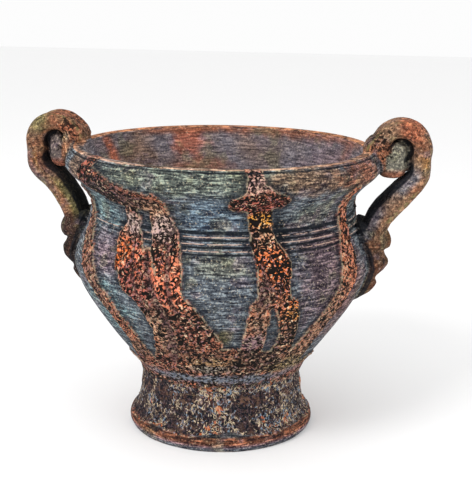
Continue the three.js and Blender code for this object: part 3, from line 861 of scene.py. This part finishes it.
in_hole = smooth((HOLE_RADIUS - 1 - from_loop) / 2)
below_hole = (z < middle[:, 1] - 2) & (strap_outward < -12.5)
tongue_share = is_tongue * np.maximum(in_hole, below_hole)
tan = layered(
    tan,
    (OLIVE, strip * 0.9),
    (GOLD, ochre_line * 0.55),
    (pigment("959080"), tongue_share * np.where(on_right, 1, 0.2)),
    (SLATE, tongue_share * np.where(on_right, 0, 0.6)),
    (EMBER, tongue_share * smooth((285 - z) / 7) * 0.7),
    (pigment("dc9c74"), hole_edge * (1 - tongue_share)),
)

leaf_share = luted * smooth((LEAF_TOP + 4 - z) / 6) * smooth((proud - 3) / 4)
tan = lerp(tan * 0.86, tan * np.where(on_right, 0.5, 0.34)[:, None], leaf_share[:, None])
tan = blend_in(tan, np.array(WINE) * 0.5, leaf_share * ~on_right * 0.6)
tan = lerp(tan, handle_dab(tan, [
    (1, 182, 206, 7, RUST, 0.6), (1, 180, 178, 7, RUST, 0.5), (1, 168, 150, 9, EMBER, 0.6),
    (1, 158, 141, 8, FLAME, 0.6), (-1, 160, 145, 12, MAROON, 0.5),
]), leaf_share[:, None])
handle_pits = handle_dab(flat((-0.7,)), [
    (1, 158, 312, 13, (1,), 1), (1, 160, 298, 12, (0.8,), 1), (1, 204, 320, 8, (0.5,), 1),
    (1, 170, 150, 14, (0.8,), 1), (1, 176, 190, 10, (0.5,), 1), (-1, 160, 312, 15, (0.9,), 1),
    (-1, 178, 165, 34, (0.9,), 1), (-1, 204, 300, 8, (0.3,), 1),
])[:, 0]
pitted = lerp(pitted, handle_pits, luted)

lining = blend_in(flat(pigment("7f7b84")), UMBER, 0.35 + 0.5 * lumps(co, 30, 16))
lining = dab(lining, [
    (150, 297, 120, 5, RUST, 0.8), (205, 298, 60, 5, RUST, 0.9), (-155, 281, 22, 14, EMBER, 0.75),
    (-158, 256, 40, 9, RUST, 0.6), (-160, 246, 30, 5, GOLD, 0.6), (-108, 275, 12, 24, EMBER, 0.8),
    (-125, 270, 30, 24, UMBER, 0.7), (115, 280, 12, 22, RUST, 0.8), (-140, 215, 70, 30, MOSS, 0.5),
    (120, 262, 60, 30, MAUVE, 0.7), (180, 90, 400, 40, UMBER, 0.6),
], wander)

foot_share = smooth((FOOT_BAND + 1.5 - z) / 1.5) * (inside < 0.5)
foot = layered(flat(MAUVE), (RUST, smooth((z - 5) / 4)), (SLATE, smooth((5.5 - z) / 3)))

lip_top = smooth((z - RIM_HEIGHT + 1.8) / 0.8) * (radius < LIP_RADIUS + 0.5) * (inside < 0.5)
at_back = smooth((np.abs(turn_between(angle, 180)) - 115) / -20)
lip_top *= np.maximum(at_back, smooth((radius - LIP_RADIUS + 6) / 2))
lip = dab(flat(pigment("c9a184")), [(180, 300, 330, 40, pigment("b2714a"), 0.9)], wander)

for finish, share in [(foot, foot_share), (lip, lip_top), (tan, luted), (lining, inside)]:
    ground = lerp(ground, finish, share[:, None])


# %% [markdown]
# ## Masks
#
# Nine masks tell the material what it is painting: the slip, the depth at its edge and how pitted
# it is, raised lines that catch the dry brush, painted shade in grooves, under the collar, in creases,
# in the slots and on the handles' inner faces, the band that is near black low down, what was luted
# on, the inside, and the handles' brushed edges. On the smear at the left the slip's edge gets no
# cream line and no painted shadow line, where the photograph shows no line.

# %% Masks on the mesh
bare = (1 - luted) * (1 - inside)
slip = smooth(depth / 1.2 + 0.5) * bare
slip_edge = np.where(bare > 0.5, np.clip(depth, -9, 6), -9)
SMEAR_AT, SMEAR_REACH, SMEAR_FOOT = -40, 25, 257
on_smear = (z > SMEAR_FOOT) & (np.abs(turn_between(angle, SMEAR_AT)) < SMEAR_REACH) & (bare > 0.5)
# On the smear the edge is pushed inside, so it gets no cream line and no thin painted shadow line.
slip_edge = np.where(on_smear & (depth > -0.5), np.maximum(slip_edge, 2.5), slip_edge)

bead_front = smooth((26 - np.abs(turn_between(angle, -4))) / 12)
raised = np.max([
    ring_height(z) * ring_share(angle, z) * (1 - slip) * bare,
    bump_at(z, STEM_BEAD[0], 1, 1.6) * bare * bead_front,
    lip_top * (1 - luted) * 0.93,
    bump_at(z, FOOT_BAND - 0.5, 1, 1.3) * bare,
], axis=0)

# Painted shade, which the material lays on near black: between the rings, in the collar's grooves and the
# groove that sets off the lip, under the collar, where the leaf and the strap's root meet the belly, on the
# handles' inner faces and in the slot beside and over each tongue.
between = (z < RINGS_TOP + 2) & (z > RINGS_TOP - RING_COUNT * RING_PITCH - 1.5)
ring_shade = (1 - ring_height(z)) ** 2 * ring_share(angle, z) * (1 - 0.8 * wiped(angle, 22))
crease_shade = luted * smooth((9 - proud) / 3) * (z < LEAF_TOP + 8)
inner_face_shade = luted * smooth((-6 - strap_outward) / 3) * rising * (1 - tongue_share)
gap = np.where(out_x > middle[:, 0], TONGUE_SLOT, TONGUE_ARCH)
beside_tongue = (out_x > middle[:, 0]) | (z > middle[:, 1])
slot = smooth((from_loop - HOLE_RADIUS + gap) / 1.5) * smooth((HOLE_RADIUS + 1.5 - from_loop) / 1.5)
slot *= beside_tongue * (luted > 0) * (np.abs(co[:, 1]) < 18)
painted_shade = np.max([
    *[bump_at(z, *groove) * bare for groove in COLLAR_GROOVES],
    np.where(between, ring_shade, 0) * bare * (1 - slip),
    bump_at(z, RIM_HEIGHT - COLLAR_DEPTH - 3, 0.5, 3) * bare,
    crease_shade,
    inner_face_shade * 0.95,
    slot,
], axis=0)

# Darker low down: near black on bare clay from the foot's band up past the stem's top, fading out some 14 mm
# above it.
dark_low = smooth((STEM_HEIGHT + 14 + 4 * wander - z) / 10) * bare * smooth((z - FOOT_BAND) / 2)
edges = luted * smooth((np.abs(co[:, 1]) - 17) / 2) * smooth((strap_outward - 6) / 2)
edges *= (1 - tongue_share) * (z > LEAF_TOP + 4)

line_colours = dab(flat(pigment("cfae9c")), [
    (0, 14, 600, 5, pigment("c98a52"), 0.9), (-2, 55, 400, 8, SLATE, 0.9),
    (-3, 55, 30, 8, pigment("d9b878"), 1), (0, 300, 70, 5, pigment("d3ab92"), 1),
    (180, 300, 300, 5, pigment("bf7f55"), 0.9),
], wander)

# %% Writing them to the mesh
def keep(name, values, kind="FLOAT", field="value"):
    attribute = pot.data.attributes.new(name, kind, "POINT")
    attribute.data.foreach_set(field, np.ascontiguousarray(values, np.float32).ravel())


MASKS = {"slip": slip, "slip_edge": slip_edge, "raised": raised, "painted_shade": painted_shade, "dark_low": dark_low,
         "luted": luted, "lining": inside, "brush_edge": edges, "pitted": pitted}
PAINTS = {"ground_paint": ground, "slip_paint": crust, "line_paint": line_colours}
for name, values in MASKS.items():
    keep(name, values)
for name, colours in PAINTS.items():
    keep(name, np.hstack([np.clip(colours, 0, 1), np.ones((len(co), 1))]), "FLOAT_COLOR", "color")
pot.data.shade_smooth()
pot.data.set_sharp_from_angle(angle=math.radians(55))
print("masks:", {name: round(float(values.mean()), 3) for name, values in MASKS.items()})

# %% [markdown]
# ## Shader sums
#
# A material is easier to read as sums than as wires. This small class wraps one socket, so that
# 1 - mask adds the Math node it needs, and one method makes every other node.

# %% A socket that can be used in sums
class Signal:
    """One output socket of the material's nodes."""

    tree = None

    def __init__(self, socket):
        self.socket = socket

    @classmethod
    def node(cls, kind, settings=None, inputs=None, output=0):
        """Adds a node: its settings first, then the value or the link of each socket named."""
        made = cls.tree.nodes.new(kind)
        for name, value in (settings or {}).items():
            setattr(made, name, value)
        for name, value in (inputs or {}).items():
            if isinstance(value, Signal):
                cls.tree.links.new(value.socket, made.inputs[name])
            else:
                made.inputs[name].default_value = value
        return cls(made.outputs[output]) if made.outputs else None

    def maths(self, operation, a, b=0.0):
        return Signal.node("ShaderNodeMath", {"operation": operation}, {0: a, 1: b})

    def __add__(self, other):
        return self.maths("ADD", self, other)

    def __sub__(self, other):
        return self.maths("SUBTRACT", self, other)

    def __rsub__(self, other):
        return self.maths("SUBTRACT", other, self)

    def __mul__(self, other):
        return self.maths("MULTIPLY", self, other)

    def __abs__(self):
        return self.maths("ABSOLUTE", self)

    def larger(self, other):
        return self.maths("MAXIMUM", self, other)

    __radd__ = __add__
    __rmul__ = __mul__


def mask(name, output="Fac"):
    return Signal.node("ShaderNodeAttribute", {"attribute_name": name}, output=output)


def paint(name):
    return mask(name, "Color")


def above(value, low, high):
    """0 below low, 1 above high, and an even step in between."""
    settings = {"interpolation_type": "SMOOTHSTEP"}
    inputs = {"Value": value, "From Min": low, "From Max": high}
    return Signal.node("ShaderNodeMapRange", settings, inputs)


def below(value, low, high):
    return 1 - above(value, low, high)


def over(under, colour, amount, how="MIX"):
    """Lays a colour over another by an amount."""
    if not isinstance(colour, Signal):
        colour = (*colour, 1)
    if not isinstance(under, Signal):
        under = (*under, 1)
    settings = {"data_type": "RGBA", "blend_type": how}
    return Signal.node("ShaderNodeMix", settings, {0: amount, 6: under, 7: colour}, output=2)


def tinted(under, factor):
    return over(under, factor, 1.0, "MULTIPLY")


def coated(under, *coats):
    """Lays coats one over the other, each a colour and how much of it."""
    for colour, amount in coats:
        under = over(under, colour, amount)
    return under


def grain(place, size, detail=2.0, roughness=0.5, distortion=0.0):
    """A random field whose features are about size millimetres across."""
    inputs = {"Vector": place, "Scale": 1 / (size * MM), "Detail": detail}
    inputs.update({"Roughness": roughness, "Distortion": distortion})
    return Signal.node("ShaderNodeTexNoise", {"noise_dimensions": "3D"}, inputs, output="Fac")


def scaled(place, x, y, z):
    return Signal.node("ShaderNodeVectorMath", {"operation": "MULTIPLY"}, {0: place, 1: (x, y, z)})


def line_of(field, half):
    """1 along the winding line where a field passes through its middle value."""
    return below(abs(field - 0.5), half * 0.6, half * 1.4)


# %% [markdown]
# ## Painted clay
#
# Under everything is matt fired clay with a dark first coat. On the bare parts a nearly dry brush
# went round and round, so its pale marks are long and level: a random field squeezed in height gives
# them. The slip had dried into crumbs with worm-like gaps, where the dark coat stays. Cells would
# look like laid stones, so a swirled field is cut at a level instead: what lies under the level is a
# pit, and a second swirled field tints what stands over it.

# %% Brush marks, crumbs and specks
clay = bpy.data.materials.new("crusted_terracotta")
clay.use_nodes = True
Signal.tree = clay.node_tree
clay.node_tree.nodes.clear()

place = Signal.node("ShaderNodeTexCoord", output="Object")
streaks = grain(scaled(place, 0.15, 0.15, 1), 1.9, 2, 0.6, 0.5)
specks = grain(place, 2.1, 2, 0.65, 0.4)
fine = grain(place, 1.4, 1, 0.5)
blotches = grain(place, 5, 2, 0.6)
clouds = grain(place, 26, 3, 0.55)
drift = grain(scaled(place, 0.7, 0.7, 1), 17, 3, 0.6)
crumbs = grain(place, 6.2, 1, 0.5, 1.9)
tints = grain(place, 5.4, 0.5, 0.5, 1.4)
shades = grain(place, 3.4, 1.5, 0.55, 0.6)
swirls = grain(place, 7.5, 1, 0.5, 1.6)

luted = mask("luted")
pitted = mask("pitted")
pits = below(crumbs - pitted * 0.14, 0.36, 0.395)
dark_pits = pits.larger(line_of(swirls, 0.028) * pitted)

# %% The brushed ground
level_marks = streaks * (0.62 - luted * 0.42) + specks * (0.38 - luted * 0.08) + shades * (luted * 0.5)
ground_paint = coated(
    paint("ground_paint"),
    (MAUVE, above(drift, 0.54, 0.66) * 0.45),
    (MOSS, above(clouds, 0.55, 0.66) * 0.4),
)
calm = (luted * 0.22).larger(mask("lining") * 0.32)
lively = 1 - calm
pale = above(level_marks, 0.52, 0.6)
flecks = above(fine * 0.5 + specks * 0.5, 0.585, 0.64)
ground_colour = coated(
    tinted(ground_paint, (0.45, 0.46, 0.49)),
    (ground_paint, calm * 0.9),
    (tinted(ground_paint, (0.09, 0.09, 0.12)), below(level_marks, 0.41, 0.485) * lively),
    (tinted(ground_paint, (1.7, 1.72, 1.65)), pale * lively),
    (CREAM, flecks * 0.45 * lively),
)

# %% The dabbed slip
slip_paint = coated(
    paint("slip_paint"),
    (CREAM, above(tints, 0.6, 0.66) * (0.2 + pitted * 0.5)),
    (MAUVE, below(tints, 0.34, 0.4) * (0.2 + pitted * 0.4)),
)
slip_colour = coated(
    tinted(slip_paint, (0.19, 0.17, 0.19)),
    (tinted(slip_paint, (1.62, 1.55, 1.55)), above(shades, 0.43, 0.55)),
    (CREAM, above(fine, 0.64, 0.68) * 0.3),
    (SOOT, dark_pits),
)

# %% Near black low on the stem, with pale worms on it
dark_low = mask("dark_low")
worm_field = grain(scaled(place, 1.2, 1.2, 0.8), 7.5, 1, 0.5, 2.0)
pale_worms = line_of(worm_field, 0.05) * above(clouds + shades * 0.7 + pitted * 0.16, 0.87, 0.95)
worm_colour = coated(
    ASH,
    (CREAM, above(tints, 0.5, 0.54)),
    (STEEL, below(tints, 0.4, 0.44)),
)
stem_colour = coated(
    NIGHT,
    (PLUM, above(specks, 0.52, 0.6) * 0.4),
    (UMBER, above(blotches, 0.54, 0.6) * 0.5 * (1 - pitted)),
    (worm_colour, pale_worms),
    (FLAME, above(swirls * 0.4 + clouds, 0.83, 0.87) * 0.6),
)
slip_colour = over(slip_colour, stem_colour, dark_low * 0.94)

# %% Edges and their painted shadow, raised lines, painted shade in hollows, and the specks and ochre edges of the handles
slip = mask("slip")
edge = mask("slip_edge")
broken = above(blotches, 0.42, 0.54)
cream_line = above(edge, -0.2, 0.5) * below(edge, 1.0, 2.0) * broken
# Painted shadow outside the slip's raised edge: a thin dark line close to it and a wide soft halo.
edge_shadow_line = above(edge, -3.4, -1.2) * below(edge, -0.5, 0.1)
edge_shadow_halo = above(edge, -8.5, -1.0)
lined = above(mask("raised"), 0.86, 0.98) * above(blotches + streaks, 0.84, 0.99)
colour = coated(
    ground_colour,
    (slip_colour, slip),
    (CREAM, cream_line * (1 - dark_low) * 0.42),
    # Painted shadow on the ground beside the slip's raised edge.
    (NIGHT, edge_shadow_line.larger(edge_shadow_halo) * 0.6 * (1 - slip)),
    # Painted shade, near black, in hollows, creases and slots and on the handles' inner faces.
    (NIGHT, above(mask("painted_shade"), 0.25, 0.9) * 0.9),
    (paint("line_paint"), lined * 0.7),
    (SOOT, luted * pits * 0.9),
    (OLIVE, mask("brush_edge") * broken * 0.6),
)

# %% Roughness, relief and the shader
roughness = 0.72 + 0.2 * (1 - pale) - 0.1 * slip * (1 - dark_pits)
height = streaks * 0.2 + specks * 0.25 - slip * dark_pits * 0.9 + slip * blotches * 0.7
bump = Signal.node("ShaderNodeBump", {}, {"Strength": 0.8, "Distance": 1 * MM, "Height": height})
surface = Signal.node(
    "ShaderNodeBsdfPrincipled",
    {},
    {"Base Color": colour, "Roughness": roughness, "Normal": bump, "Specular IOR Level": 0.12},
)
Signal.node("ShaderNodeOutputMaterial", {}, {"Surface": surface})
pot.data.materials.clear()
pot.data.materials.append(clay)
print("material:", len(clay.node_tree.nodes), "nodes")

# %% The piece takes the solid's place
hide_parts("krater")
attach(pot, "root")

# %% [markdown]
# ## Floor and light
#
# The pot stands in a plain pale room of light: a wide white floor, an even white sky, one broad soft
# lamp from the upper left, which leaves the inner faces of the handles in the dark, and a weak one
# from the right. Painted shade on those inner faces darkens them further.

# %% The floor
def floor_plane(half):
    corners = [(-half, -half, 0), (half, -half, 0), (half, half, 0), (-half, half, 0)]
    piece = new_piece("floor", np.array(corners) / MM, [(0, 1, 2, 3)])
    white = bpy.data.materials.new("pale_floor")
    white.use_nodes = True
    shader = white.node_tree.nodes["Principled BSDF"]
    shader.inputs["Base Color"].default_value = (0.93, 0.93, 0.93, 1)
    shader.inputs["Roughness"].default_value = 0.9
    piece.data.materials.append(white)
    return piece


floor_plane(6)

# %% The sky and the lamps
world = bpy.data.worlds.new("white_sky")
world.use_nodes = True
sky = world.node_tree.nodes["Background"]
sky.inputs["Color"].default_value = (1, 1, 1, 1)
sky.inputs["Strength"].default_value = 0.98
bpy.context.scene.world = world


def lamp(name, place, aim, size, power):
    light = bpy.data.lights.new(name, "AREA")
    light.size = size
    light.energy = power
    holder = bpy.data.objects.new(name, light)
    holder.location = place
    holder.rotation_euler = (Vector(aim) - Vector(place)).to_track_quat("-Z", "Y").to_euler()
    bpy.context.scene.collection.objects.link(holder)


lamp("key", (-0.9, -1.3, 1.6), (0, 0, 0.15), 0.8, 22)
lamp("fill", (1.4, -0.9, 0.9), (0, 0, 0.15), 1.2, 6)
bpy.context.scene.view_settings.view_transform = "Standard"
bpy.context.scene.view_settings.look = "None"

# %% [markdown]
# ## Camera
#
# The camera's place was found by matching the foot, the rim and the handles with the photograph. It
# looks down by some 14 degrees from a little to the right of the front.

# %% The camera
IMAGE_HEIGHT = 500  # pixels
FOCAL_PIXELS = 1080
CAMERA_DISTANCE = 1.1093
CAMERA_HEIGHT = 0.467
CAMERA_ROUND = math.radians(8)
CAMERA_YAW, CAMERA_PITCH, CAMERA_ROLL = 0.0127, 0.2466, 0.0150


def aim_camera():
    view = bpy.data.cameras.new("camera")
    view.sensor_fit = "VERTICAL"
    view.sensor_height = 36
    view.lens = FOCAL_PIXELS * view.sensor_height / IMAGE_HEIGHT
    holder = bpy.data.objects.new("camera", view)
    bpy.context.scene.collection.objects.link(holder)
    level, down = math.cos(CAMERA_PITCH), -math.sin(CAMERA_PITCH)
    forward = Vector((math.sin(CAMERA_YAW) * level, math.cos(CAMERA_YAW) * level, down))
    forward.rotate(Matrix.Rotation(CAMERA_ROUND, 3, "Z"))
    right = forward.cross(Vector((0, 0, 1))).normalized()
    up = right.cross(forward)
    rolled_right = right * math.cos(CAMERA_ROLL) + up * math.sin(CAMERA_ROLL)
    rolled_up = up * math.cos(CAMERA_ROLL) - right * math.sin(CAMERA_ROLL)
    turn = Matrix((rolled_right, rolled_up, -forward)).transposed()
    place = Vector((math.sin(CAMERA_ROUND), -math.cos(CAMERA_ROUND), 0)) * CAMERA_DISTANCE
    place.z = CAMERA_HEIGHT
    holder.matrix_world = Matrix.Translation(place) @ turn.to_4x4()
    bpy.context.scene.camera = holder
    return place


print("camera at", tuple(round(v, 3) for v in aim_camera()))
